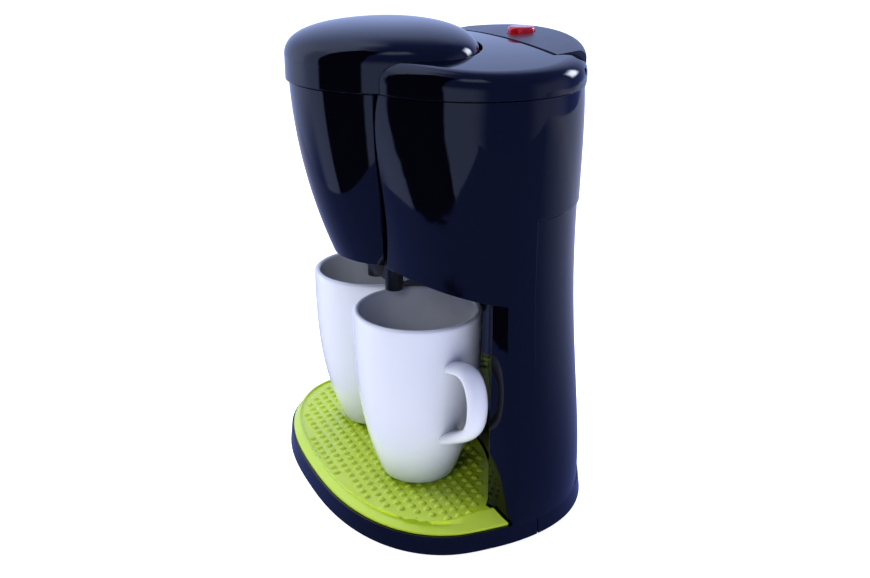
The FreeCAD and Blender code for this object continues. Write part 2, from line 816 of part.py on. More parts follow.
def build_heater_bracket():
    low = floor_gap + plate_thickness
    half = 2.5 * heater_radius
    rear = hose_y + heater_radius + 2 * rod_radius + wall
    saddle = block((-half, hose_y - heater_radius / 2, low), (half, rear, heater_bottom_z))
    saddle = saddle.cut(u_tube(heater_radius + seat_fit, hose_y, heater_top_z, hose_x, heater_bottom_z))
    rod_y = hose_y + heater_radius + rod_radius
    return saddle.cut(u_tube(rod_radius + seat_fit, rod_y, heater_top_z, hose_x, heater_bottom_z))


def build_thermostat():
    """Snap-disc thermostat on the side of one heater leg, with its tab."""
    x = hose_x + heater_radius
    disc = Part.makeCylinder(disc_radius, disc_height, vec(x, hose_y, disc_z), vec(1, 0, 0))
    tab_x = x + disc_height
    tab = block((tab_x, hose_y - 2.0, disc_z - 2.0), (tab_x + 5.0, hose_y + 2.0, disc_z + 2.0))
    return disc.fuse(tab)


def build_thermal_fuse():
    """Thermal fuse along the side of the other heater leg."""
    x = -hose_x - heater_radius - fuse_radius
    body = up_cylinder(x, hose_y, disc_z - disc_radius, fuse_radius, 2 * disc_radius)
    return body.fuse(up_cylinder(x, hose_y, disc_z - 1.5 * disc_radius, fuse_radius / 4, 3 * disc_radius))


def build_riser_hose():
    low = heater_top_z - 2 * hose_radius
    return ring(hose_x, hose_y, low, hose_radius, hose_bore, tank_bottom_z - low - 2.0)


def build_water_arm():
    """Stiff pipe that stands in the tank, bends over the deck and ends at the spray plate."""
    low = tank_bottom_z - 2 * hose_radius

    def pipe(radius, start, end):
        body = up_cylinder(hose_x, hose_y, start, radius, arm_z - start)
        reach = vec(basket_x - hose_x, basket_y - hose_y)
        body = body.fuse(Part.makeCylinder(radius, reach.Length, vec(hose_x, hose_y, arm_z), reach))
        body = body.fuse(Part.makeSphere(radius, vec(hose_x, hose_y, arm_z)))
        body = body.fuse(Part.makeSphere(radius, vec(basket_x, basket_y, arm_z)))
        return body.fuse(up_cylinder(basket_x, basket_y, end, radius, arm_z - end))

    neck = up_cylinder(hose_x, hose_y, low, hose_bore, tank_bottom_z - low)
    body = pipe(arm_radius, tank_bottom_z, deck_top_z).fuse(neck)
    return body.cut(pipe(hose_bore - 1.2, low - 1, spray_low_z))


def build_spray_plate():
    neck = spray_radius - spray_thickness
    plate = up_cylinder(basket_x, basket_y, spray_low_z, neck, deck_top_z - spray_low_z)
    flange = ring(basket_x, basket_y, deck_top_z, spray_radius, arm_radius, 1.2)
    body = plate.fuse(flange)
    for number in range(8):
        turn = 2.0 * math.pi * number / 8
        reach = spray_radius - 2 * spray_thickness
        spot = (basket_x + reach * math.cos(turn), basket_y + reach * math.sin(turn))
        body = body.cut(up_cylinder(*spot, 0, 1.1, head_height + spray_radius))
    return body.cut(up_cylinder(basket_x, basket_y, deck_top_z - 1.0, hose_bore - 1.2, spray_radius))


def build_clamps():
    spots = [(-hose_x, tank_bottom_z - 2 * clamp_width), (-hose_x, heater_top_z - 1.5 * clamp_width),
             (hose_x, heater_top_z - 1.5 * clamp_width), (hose_x, tank_bottom_z - 2 * clamp_width)]
    return Part.makeCompound([ring(x, hose_y, z, hose_radius + clamp_thickness, hose_radius, clamp_width)
                              for x, z in spots])


# Base plate, feet, fasteners and power inlet

boss_radius = 4.2
boss_bottom_z = floor_gap + plate_thickness
boss_rear_y = 21.5
boss_rear_x = 40.0
boss_front_y = -50.0
boss_front_x = 40.0
boss_spots = []
for boss_side in (-1, 1):
    boss_spots.append((boss_side * boss_front_x, boss_front_y, base_height - wall / 2))
    boss_spots.append((boss_side * boss_rear_x, boss_rear_y, 4 * base_height))
foot_spots = [(side * foot_x, y) for side in (-1, 1) for y in (foot_front_y, foot_rear_y)]


def build_base_plate():
    plate = prism(base_outline(floor_gap, wall + fit_gap, base_draft), plate_thickness)
    for x, y, _ in boss_spots:
        plate = plate.cut(up_cylinder(x, y, 0, screw_radius + fit_gap, base_height))
    for x, y in foot_spots:
        plate = plate.cut(up_cylinder(x, y, 0, foot_radius / 2, base_height))
    return plate


def build_feet():
    feet = []
    for x, y in foot_spots:
        pad = Part.makeCone(foot_radius - 0.8, foot_radius, floor_gap, vec(x, y, 0))
        feet.append(pad.fuse(up_cylinder(x, y, floor_gap, foot_radius / 2, plate_thickness)))
    return Part.makeCompound(feet)


def build_screws():
    screws = []
    for x, y, _ in boss_spots:
        head = up_cylinder(x, y, floor_gap - screw_head_height, screw_head_radius, screw_head_height)
        shank = up_cylinder(x, y, floor_gap, screw_radius, 2 * plate_thickness)
        slot = block((x - screw_head_radius, y - 0.4, 0), (x + screw_head_radius, y + 0.4, 0.9))
        screws.append(head.fuse(shank).cut(slot))
    return Part.makeCompound(screws)


def build_power_inlet():
    """Gland in the rear cover that the mains lead would come through."""
    body = Part.makeCylinder(inlet_radius, inlet_length, vec(inlet_x, inlet_seat_y, inlet_z), vec(0, 1, 0))
    flange = Part.makeCylinder(inlet_flange_radius, wall, vec(inlet_x, inlet_seat_y, inlet_z), vec(0, 1, 0))
    bore = Part.makeCylinder(inlet_bore, 2 * beyond, vec(inlet_x, 0, inlet_z), vec(0, 1, 0))
    return body.fuse(flange).cut(bore)


inlet_seat_y = base_half_depth - 12.5


def build_terminal_block():
    low = floor_gap + plate_thickness
    half = 1.5 * terminal_pitch
    rear = hose_y + terminal_width
    body = block((inlet_x - half, hose_y, low), (inlet_x + half, rear, low + terminal_height))
    for number in (-1, 0, 1):
        x = inlet_x + terminal_pitch * number
        spot = hose_y + terminal_width / 2
        body = body.cut(up_cylinder(x, spot, low + terminal_height / 3, screw_radius, terminal_height))
    return body


# Drip tray

def tray_outline(z, inset):
    return base_outline(z, tray_inset + inset, base_draft)


def tray_clear(grow):
    """Space that the column needs inside the tray's outline."""
    rear = 3.0 * base_half_depth
    wide = base_half_width + wing_margin
    keep = prism(oval(0, wide, wing_front_y, rear, wing_waist_y, base_fullness, -grow), neck_height)
    return keep.cut(bay_arc_solid(-grow, -neck_height, 2 * neck_height))


def inside_oval(x, y, inset):
    edge = base_half_depth - base_draft - inset
    reach = edge - base_waist_y if y > base_waist_y else edge + base_waist_y
    across = abs(x) / (base_half_width - base_draft - inset)
    return across ** base_fullness + (abs(y - base_waist_y) / reach) ** base_fullness < 1.0


def bump_spots():
    """Square pattern of bumps that keeps clear of the rim and the column."""
    sag = bay_back_y - bay_side_y
    bay_radius = (bay_side_x ** 2 + sag ** 2) / (2.0 * sag)
    clear = tray_column_gap + 2 * bump_radius
    margin = tray_inset + tray_rim_width + 1.5 * bump_radius + 1.0
    spots = []
    columns = int(base_half_width / bump_pitch)
    for column in range(-columns, columns):
        for row in range(-columns, columns):
            x = (column + 0.5) * bump_pitch
            y = (row + 0.5) * bump_pitch + base_waist_y
            behind = math.hypot(x, y - bay_back_y + bay_radius) > bay_radius - clear
            beside = abs(x) > bay_side_x - clear and y > bay_side_y - clear
            if inside_oval(x, y, margin) and not behind and not beside:
                spots.append((x, y))
    return spots


def build_bump():
    """One bump as a low eight-sided cone."""
    rings = []
    for radius, z in ((bump_radius, 0.0), (bump_top_radius, bump_height + bump_sink)):
        corners = []
        for number in range(bump_sides + 1):
            turn = 2.0 * math.pi * number / bump_sides
            corners.append(vec(radius * math.cos(turn), radius * math.sin(turn), z))
        rings.append(Part.makePolygon(corners))
    return Part.makeLoft(rings, True, True)


def build_tray():
    bump = build_bump()
    field = tray_field_z
    rim = field + tray_rim_rise
    inner = tray_rim_width
    lower = tray_outline(tray_lower_z, 0.0)
    edge = tray_outline(tray_lower_z + tray_corner, 0.0)
    crest = tray_outline(rim, inner)
    body = Part.makeLoft([lower, edge], True, True).fuse(Part.makeLoft([edge, crest], True, True))
    body = body.cut(prism(tray_outline(field, inner + 1.0), 2 * rim))
    under = field - tray_wall
    foot = tray_outline(tray_lower_z - tray_corner, 2 * tray_wall)
    hollow = Part.makeLoft([foot, tray_outline(under, inner + tray_wall)], True)
    body = body.cut(hollow).cut(tray_clear(tray_column_gap))
    caps = []
    for x, y in bump_spots():
        cap = bump.copy()
        cap.translate(vec(x, y, field - bump_sink))
        caps.append(cap)
    return body.multiFuse(caps)


# Mugs

mug_seat_z = tray_field_z + bump_height + 0.1


def mug_side(z):
    """Radius of the mug's outside at a height over its foot."""
    return mug_rim_radius * (1.0 - mug_taper * (1.0 - z / mug_height) ** mug_taper_power)


def mug_profile(inset, low):
    start = low + mug_foot_round
    foot = mug_side(start) - inset - mug_foot_round
    points = []
    for step in range(mug_side_points + 1):
        z = start + (mug_height - start) * step / mug_side_points
        points.append(vec(mug_side(z) - inset, 0, z))
    side = Part.BSplineCurve()
    side.interpolate(Points=points)
    half_way = mug_foot_round * math.sqrt(0.5)
    bend = vec(foot + half_way, 0, start - half_way)
    return [
        Part.LineSegment(vec(0, 0, low), vec(foot, 0, low)).toShape(),
        Part.Arc(vec(foot, 0, low), bend, points[0]).toShape(),
        side.toShape(),
        Part.LineSegment(points[-1], vec(0, 0, mug_height)).toShape(),
        Part.LineSegment(vec(0, 0, mug_height), vec(0, 0, low)).toShape(),
    ]


def mug_handle():
    """D-shaped loop handle in the XZ plane, its ends inside the mug's wall."""
    low = mug_handle_low + mug_handle_thickness / 2
    high = mug_handle_high - mug_handle_thickness / 2
    high_root = mug_side(high) - mug_handle_sink
    low_root = mug_side(low) - mug_handle_sink
    tip = mug_rim_radius + mug_handle_reach - mug_handle_thickness / 2
    reach = tip - high_root
    drop = high - low
    points = [
        vec(high_root, 0, high),
        vec(high_root + 0.67 * reach, 0, high - 1.0),
        vec(tip, 0, high - 0.33 * drop),
        vec(tip - 0.2 * reach, 0, low + 0.33 * drop),
        vec(high_root + 0.2 * reach, 0, low + 1.5),
        vec(low_root, 0, low),
    ]
    path = Part.BSplineCurve()
    path.interpolate(Points=points)
    spine = Part.Wire(path.toShape())
    grip = Part.Ellipse(vec(0, mug_handle_width / 2), vec(mug_handle_thickness / 2, 0), vec(0, 0)).toShape()
    section = Part.Wire(grip)
    start = path.tangent(path.FirstParameter)[0]
    section.rotate(vec(0, 0), vec(0, 1, 0), math.degrees(math.atan2(start.x, start.z)))
    section.translate(vec(high_root, 0, high))
    return spine.makePipeShell([section], True, True)


def build_mug(x, y, turn):
    body = revolve(mug_profile(0.0, 0.0), 0, 0)
    handle = mug_handle()
    inner = revolve(mug_profile(mug_wall, mug_wall), 0, 0)
    body = body.fuse(handle).cut(inner)
    body = body.cut(up_cylinder(0, 0, 0, mug_side(mug_foot_round) - 2 * mug_foot_round, mug_wall / 4))
    body.rotate(vec(0, 0), vec(0, 0, 1), turn)
    body.translate(vec(x, y, mug_seat_z))
    return body


def main():
    os.makedirs("parts", exist_ok=True)
    shell = build_shell()
    save("front_housing", build_front_housing(shell))
    save("bay_panel", build_bay_panel(shell))
    save("rear_cover", build_rear_cover(shell))
    save("filter_holder", build_filter_holder())
    save("holder_pin", build_pivot_pin())
    save("filter_frame", build_filter_frame())
    save("filter_mesh", build_filter_mesh())
    save("coffee_spout", build_spout())
    save("filter_cover", build_filter_cover())
    save("tank_lid", build_tank_lid())
    save("switch_panel", build_switch_panel())
    save("lid_hinge_pins", build_hinge_pins())
    save("power_button", build_button())
    save("button_spring", build_button_spring())
    save("power_switch", build_switch())
    save("top_deck", build_deck())
    save("water_tank", build_tank())
    save("inlet_hose", build_inlet_hose())
    save("check_valve", build_check_valve())
    save("heater_tube", build_heater())
    save("heating_rod", build_heating_rod())
    save("heater_bracket", build_heater_bracket())
    save("thermostat", build_thermostat())
    save("thermal_fuse", build_thermal_fuse())
    save("riser_hose", build_riser_hose())
    save("water_arm", build_water_arm())
    save("spray_plate", build_spray_plate())
    save("hose_clamps", build_clamps())
    save("base_plate", build_base_plate())
    save("rubber_feet", build_feet())
    save("base_screws", build_screws())
    save("power_inlet", build_power_inlet())
    save("terminal_block", build_terminal_block())
    save("drip_tray", build_tray())
    save("mug_right", build_mug(mug_x, mug_right_y, mug_handle_turn))
    save("mug_left", build_mug(-mug_x, mug_left_y, 180.0 - mug_handle_turn))


if __name__ == "__main__":
    main()
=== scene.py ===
import json
import logging
import math
from dataclasses import dataclass, field
from enum import Enum

import bpy
from mathutils import Matrix, Vector


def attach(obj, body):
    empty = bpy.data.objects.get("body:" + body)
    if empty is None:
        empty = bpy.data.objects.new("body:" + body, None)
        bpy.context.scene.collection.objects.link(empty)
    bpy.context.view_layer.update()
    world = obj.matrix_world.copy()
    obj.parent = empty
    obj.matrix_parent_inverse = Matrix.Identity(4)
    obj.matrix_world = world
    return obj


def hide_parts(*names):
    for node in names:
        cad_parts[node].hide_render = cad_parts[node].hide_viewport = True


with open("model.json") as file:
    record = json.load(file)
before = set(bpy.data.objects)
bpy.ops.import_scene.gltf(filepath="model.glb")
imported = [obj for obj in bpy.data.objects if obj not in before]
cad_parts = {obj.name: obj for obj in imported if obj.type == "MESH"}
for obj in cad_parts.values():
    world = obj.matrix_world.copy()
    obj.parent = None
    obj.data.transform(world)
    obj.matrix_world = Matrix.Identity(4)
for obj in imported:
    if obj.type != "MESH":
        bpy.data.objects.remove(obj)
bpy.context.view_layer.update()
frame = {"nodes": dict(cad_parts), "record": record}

log = logging.getLogger("coffee_maker")
MM = 0.001
MERGE_GAP = 0.01 * MM
SEAM_GAP = 0.02 * MM
COAT_ROUGHNESS = 0.03
SCATTER_DEPTH = 4.0 * MM
WEAR_SPREAD = 40.0
WEAR_FROM = 0.35
WEAR_TO = 0.7
EDGE_SAMPLES = 6
SENSOR_WIDTH_MM = 36.0


class Body(Enum):
    """Moving groups of the part, by their names in the record."""

    MACHINE = "machine_body"
    LID = "tank_lid_body"
    HOLDER = "holder_body"
    BUTTON = "button_body"
    TRAY = "tray_body"
    RIGHT_MUG = "right_mug_body"
    LEFT_MUG = "left_mug_body"


def srgb(code: str) -> tuple[float, float, float, float]:
    """Turns a colour code into linear light.

    Args:
        code: Six hex digits after a hash sign.

    Returns:
        Red, green, blue and an alpha of one.
    """
    values = [int(code[i:i + 2], 16) / 255 for i in (1, 3, 5)]
    linear = [v / 12.92 if v <= 0.04045 else ((v + 0.055) / 1.055) ** 2.4 for v in values]
    return (*linear, 1.0)


def add_node(tree: bpy.types.NodeTree, kind: str, **inputs: object) -> bpy.types.Node:
    """Adds a shader node and fills its inputs.

    Args:
        tree: Tree that takes the node.
        kind: Type name of the node.
        inputs: Values or sockets by input name, with underscores for spaces.

    Returns:
        The new node.
    """
    node = tree.nodes.new(kind)
    for name, value in inputs.items():
        socket = node.inputs[name.replace("_", " ")]
        if isinstance(value, bpy.types.NodeSocket):
            tree.links.new(value, socket)
        else:
            socket.default_value = value
    return node


@dataclass(frozen=True)
class Finish:
    """A real surface: its colour, gloss and fine texture."""

    name: str
    colour: str
    roughness: float
    slot: str
    metallic: float = 0.0
    coat: float = 0.0
    grain_mm: float = 1.0
    grain_depth_mm: float = 0.01
    gloss_change: float = 0.04
    transmission: float = 0.0
    subsurface: float = 0.0
    specular: float = 0.5
    glow: float = 0.0
    edge_round_mm: float = 0.0

    def make(self) -> bpy.types.Material:
        """Builds the shader.

        Returns:
            The finished material.
        """
        material = bpy.data.materials.new(self.name)
        material.use_nodes = True
        tree = material.node_tree
        shader = tree.nodes["Principled BSDF"]
        shader.inputs["Base Color"].default_value = srgb(self.colour)
        shader.inputs["Metallic"].default_value = self.metallic
        shader.inputs["Coat Weight"].default_value = self.coat
        shader.inputs["Coat Roughness"].default_value = COAT_ROUGHNESS
        shader.inputs["Transmission Weight"].default_value = self.transmission
        shader.inputs["Subsurface Weight"].default_value = self.subsurface
        shader.inputs["Subsurface Radius"].default_value = (SCATTER_DEPTH,) * 3
        shader.inputs["Specular IOR Level"].default_value = self.specular
        # Emission from a finish's glow is painted light, not a lamp
        shader.inputs["Emission Color"].default_value = srgb(self.colour)
        shader.inputs["Emission Strength"].default_value = self.glow
        place = add_node(tree, "ShaderNodeTexCoord")
        grain = add_node(tree, "ShaderNodeTexNoise", Vector=place.outputs["Object"],
                         Scale=1.0 / (self.grain_mm * MM), Detail=3.0)
        wear = add_node(tree, "ShaderNodeTexNoise", Vector=place.outputs["Object"],
                        Scale=1.0 / (WEAR_SPREAD * self.grain_mm * MM), Detail=4.0)
        spread = add_node(tree, "ShaderNodeMapRange", Value=wear.outputs["Fac"], From_Min=WEAR_FROM,
                          From_Max=WEAR_TO, To_Min=self.roughness, To_Max=self.roughness + self.gloss_change)
        tree.links.new(spread.outputs["Result"], shader.inputs["Roughness"])
        bump = add_node(tree, "ShaderNodeBump", Height=grain.outputs["Fac"], Strength=1.0,
                        Distance=self.grain_depth_mm * MM)
        tree.links.new(bump.outputs["Normal"], shader.inputs["Normal"])
        if self.edge_round_mm:
            edge = add_node(tree, "ShaderNodeBevel", Radius=self.edge_round_mm * MM)
            edge.samples = EDGE_SAMPLES
            tree.links.new(edge.outputs["Normal"], bump.inputs["Normal"])
        return material


# Glossy moulded black plastic with a faint blue cast, as on the housing
BLACK_GLOSS = Finish("gloss_black_plastic", "#030307", 0.04, "black_gloss", grain_mm=14.0,
                     grain_depth_mm=0.004, gloss_change=0.03, edge_round_mm=0.5)
# Satin dark plastic of the switch panel
PANEL_GREY = Finish("satin_grey_plastic", "#2c2f3a", 0.3, "grey_plastic", grain_mm=0.5, grain_depth_mm=0.006)
# Clear red plastic of the button, with a faint painted glow from emission that stands in for light shining
# through it
RED_CLEAR = Finish("clear_red_plastic", "#f02216", 0.05, "red_plastic", coat=0.8, transmission=0.75,
                   glow=0.08)
# Lime green plastic of the tray
LIME = Finish("lime_plastic", "#c6dd2e", 0.2, "lime_plastic", subsurface=0.1, coat=0.5, grain_mm=1.2,
              grain_depth_mm=0.004)
# White glazed stoneware of the mugs
GLAZE = Finish("white_glazed_stoneware", "#dadbd9", 0.12, "white_glaze", coat=0.5, grain_mm=3.0,
               grain_depth_mm=0.012, subsurface=0.05)
# Plain black plastic of the inner and under pieces
BLACK_PLAIN = Finish("plain_black_plastic", "#0c0d11", 0.36, "black_plastic", grain_mm=0.6,
                     grain_depth_mm=0.012)
# Cloudy natural plastic of the water tank
TANK_CLOUDY = Finish("cloudy_tank_plastic", "#c9ced2", 0.35, "clear_tank", transmission=0.5, subsurface=0.1)
# Soft silicone of hoses and feet
SILICONE = Finish("soft_silicone", "#8d8f8c", 0.55, "silicone", subsurface=0.1, grain_mm=0.8)
# Plain drawn steel of pins, screws and clamps
STEEL = Finish("drawn_steel", "#b9bcc0", 0.28, "steel", metallic=1.0, grain_mm=0.4)
# Bare extruded aluminium of the heater
ALUMINIUM = Finish("bare_aluminium", "#c4c6c8", 0.36, "bare_aluminium", metallic=1.0, grain_mm=0.6)
# Natural plastic of the water arm and the valve
ARM_NATURAL = Finish("natural_pipe_plastic", "#d8d4c6", 0.4, "arm_plastic", subsurface=0.1)

FINISHES = (BLACK_GLOSS, PANEL_GREY, RED_CLEAR, LIME, GLAZE, BLACK_PLAIN, TANK_CLOUDY, SILICONE, STEEL,
            ALUMINIUM, ARM_NATURAL)


@dataclass
class Dressing:
    """Gives every carried-over solid the finish that its record slot names."""

    made: dict[str, bpy.types.Material] = field(default_factory=dict)

    def material(self, finish: Finish) -> bpy.types.Material:
        """Returns the shader of a finish, built once."""
        if finish.name not in self.made:
            self.made[finish.name] = finish.make()
        return self.made[finish.name]

    def dress(self) -> None:
        """Puts a material on every solid of the frame."""
        by_slot = {finish.slot: finish for finish in FINISHES}
        for part in frame["record"]["subparts"]:
            solid = frame["nodes"][part["node"]]
            material = self.material(by_slot[part["material_slot"]])
            if solid.material_slots:
                for holder in solid.material_slots:
                    holder.material = material
            else:
                solid.data.materials.append(material)


def start_point(name: str, place: tuple[float, float, float]) -> bpy.types.Object:
    """Starts a new mesh as one point in edit mode.

    Args:
        name: Name of the new object.
        place: The point, in metres.

    Returns:
        The object, still in edit mode with its point selected.
    """
    bpy.ops.object.select_all(action="DESELECT")
    bpy.ops.mesh.primitive_plane_add(size=MM, location=(0, 0, 0))
    piece = bpy.context.object
    piece.name = name
    piece.data.name = name
    bpy.ops.object.mode_set(mode="EDIT")
    bpy.ops.mesh.select_all(action="SELECT")
    bpy.ops.mesh.merge(type="CENTER")
    bpy.ops.transform.translate(value=place)
    return piece


def draw_to(points: list[tuple[float, float, float]], start: tuple[float, float, float]) -> None:
    """Extrudes the selected point along a path.

    Args:
        points: Further points of the path, in metres.
        start: Where the path starts.
    """
    last = Vector(start)
    for point in points:
        step = Vector(point) - last
        bpy.ops.mesh.extrude_region_move(TRANSFORM_OT_translate={"value": step})
        last = Vector(point)


def spin_profile(name: str, profile: list[tuple[float, float]], centre: tuple[float, float], base: float,
                 steps: int = 96) -> bpy.types.Object:
    """Turns a half profile about an upright axis.

    Args:
        name: Name of the new object.
        profile: Radius and height pairs in millimetres, from the axis and back to it.
        centre: The axis, X and Y in millimetres.
        base: Height of the profile's zero, in millimetres.
        steps: Divisions of the full turn.

    Returns:
        The closed piece in object mode.
    """
    x, y = centre
    points = [((x + radius) * MM, y * MM, (base + z) * MM) for radius, z in profile]
    piece = start_point(name, points[0])
    draw_to(points[1:], points[0])
    bpy.ops.mesh.select_all(action="SELECT")
    bpy.ops.mesh.spin(steps=steps, angle=2 * math.pi, center=(x * MM, y * MM, 0), axis=(0, 0, 1))
    bpy.ops.mesh.select_all(action="SELECT")
    bpy.ops.mesh.remove_doubles(threshold=MERGE_GAP)
    bpy.ops.mesh.normals_make_consistent(inside=False)
    bpy.ops.object.mode_set(mode="OBJECT")
    return piece


def smooth(piece: bpy.types.Object, angle: float = 40.0) -> None:
    """Shades a piece smooth, except over edges sharper than the angle in degrees."""
    bpy.ops.object.select_all(action="DESELECT")
    piece.select_set(True)
    bpy.context.view_layer.objects.active = piece
    bpy.ops.object.shade_smooth_by_angle(angle=math.radians(angle))


def apply_modifiers(piece: bpy.types.Object) -> None:
    """Turns every modifier of a piece into mesh."""
    bpy.ops.object.select_all(action="DESELECT")
    piece.select_set(True)
    bpy.context.view_layer.objects.active = piece
    for modifier in list(piece.modifiers):
        bpy.ops.object.modifier_apply(modifier=modifier.name)


def finish_piece(piece: bpy.types.Object, material: bpy.types.Material, body: Body) -> None:
    """Gives a new piece its material and the body that it moves with.

    Args:
        piece: The new piece.
        material: Its shader.
        body: The moving group it rides on.
    """
    piece.data.materials.clear()
    piece.data.materials.append(material)
    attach(piece, body.value)


@dataclass
class Mug:
    """A white glazed mug with a rounded rim, a foot ring and a loop handle. Sizes in millimetres."""

    node: str
    body: Body
    x: float
    y: float
    turn: float
    seat: float = 17.6
    rim: float = 31.6
    taper: float = 0.43
    taper_power: float = 2.85
    foot_round: float = 3.0
    height: float = 88.0
    wall: float = 3.2
    reach: float = 22.0
    handle_low: float = 27.0
    handle_high: float = 73.0
    handle_width: float = 11.0
    handle_thick: float = 6.4
    foot_hollow: float = 1.4
    foot_lift: float = 0.1
    floor: float = 4.6
    side_steps: int = 14
    side_crowding: float = 1.4
    rim_band: float = 4.0

    def side(self, z: float, inset: float = 0.0) -> float:
        """Returns the radius at a height, pulled in by a wall."""
        depth = 1.0 - z / self.height
        return self.rim * (1.0 - self.taper * depth ** self.taper_power) - inset

    def profile(self) -> list[tuple[float, float]]:
        """Draws the half profile from the underside round the rim to the inside.

        Returns:
            Radius and height pairs.
        """
        foot = self.side(self.foot_round) - self.foot_round
        under = [(0, self.foot_hollow), (foot - 3.4, self.foot_hollow), (foot - 2.6, 0.5),
                 (foot - 1.6, self.foot_lift)]
        corner = [(foot + self.foot_round * math.sin(a), self.foot_round * (1 - math.cos(a)) + self.foot_lift)
                  for a in (math.radians(d) for d in (0, 20, 40, 60))]
        straight = self.height - self.rim_band - self.foot_round
        shares = [(step / self.side_steps) ** self.side_crowding for step in range(1, self.side_steps + 1)]
        heights = [self.foot_round + straight * share for share in shares]
        outer = [(self.side(z), z) for z in heights]
        lip = self.wall / 2
        top = [(self.rim - lip + lip * math.cos(a), self.height - lip + lip * math.sin(a))
               for a in (math.radians(d) for d in (0, 30, 60, 90, 120, 150, 180))]
        inner = [(self.side(z, self.wall), z) for z in (78.0, 66.0, 54.0, 43.0, 33.0, 24.0, 17.0, 12.0, 9.0)]
        floor = [(foot - 1.5, self.floor + 1.8), (foot - 5.0, self.floor + 0.4), (0, self.floor)]
        return under + corner + outer + top + inner + floor

    def handle(self) -> bpy.types.Object:
        """Draws the loop handle as a rounded strap that follows one smooth curve.

        Returns:
            The handle as a mesh, in its place on the mug.
        """
        low = self.handle_low + self.handle_thick / 2
        high = self.handle_high - self.handle_thick / 2
        tip = self.rim + self.reach - self.handle_thick / 2
        top_root = self.side(high) - self.wall / 2
        low_root = self.side(low) - self.wall / 2
        upper = [(top_root, high - 2.5), (self.rim + 6.0, high - 0.2), (tip - 5.5, high + 0.4),
                 (tip + 0.4, high - 9.0)]
        lower = [(tip + 0.4, low + 19.0), (tip - 3.0, low + 9.0), (self.rim + 5.0, low + 3.0),
                 (low_root, low - 2.2)]
        route = upper + lower
        data = bpy.data.curves.new(self.node + "_handle", "CURVE")
        data.dimensions = "3D"
        spline = data.splines.new("NURBS")
        spline.points.add(len(route) - 1)
        for point, (r, z) in zip(spline.points, route):
            point.co = (r * MM, 0, z * MM, 1)
        spline.order_u = 4
        spline.use_endpoint_u = True
        data.resolution_u = 10
        data.bevel_depth = self.handle_thick / 2 * MM
        data.bevel_resolution = 5
        data.use_fill_caps = True
        loop = bpy.data.objects.new(self.node + "_handle", data)
        bpy.context.collection.objects.link(loop)
        bpy.ops.object.select_all(action="DESELECT")
        loop.select_set(True)
        bpy.context.view_layer.objects.active = loop
        bpy.ops.object.convert(target="MESH")
        loop = bpy.context.object
        wide = self.handle_width / self.handle_thick
        turn = math.radians(self.turn)
        for vertex in loop.data.vertices:
            vertex.co.y *= wide
            x, y, z = vertex.co
            vertex.co = (x * math.cos(turn) - y * math.sin(turn) + self.x * MM,
                         x * math.sin(turn) + y * math.cos(turn) + self.y * MM, z + self.seat * MM)
        return loop

    def build(self, dressing: "Dressing") -> None:
        """Builds the mug and its handle and hides the plain solid.

        Args:
            dressing: Keeper of the shaders.
        """
        cup = spin_profile(self.node + "_cup", self.profile(), (self.x, self.y), self.seat)
        smooth(cup, 60.0)
        loop = self.handle()
        smooth(loop, 60.0)
        for piece in (cup, loop):
            finish_piece(piece, dressing.material(GLAZE), self.body)
        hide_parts(self.node)


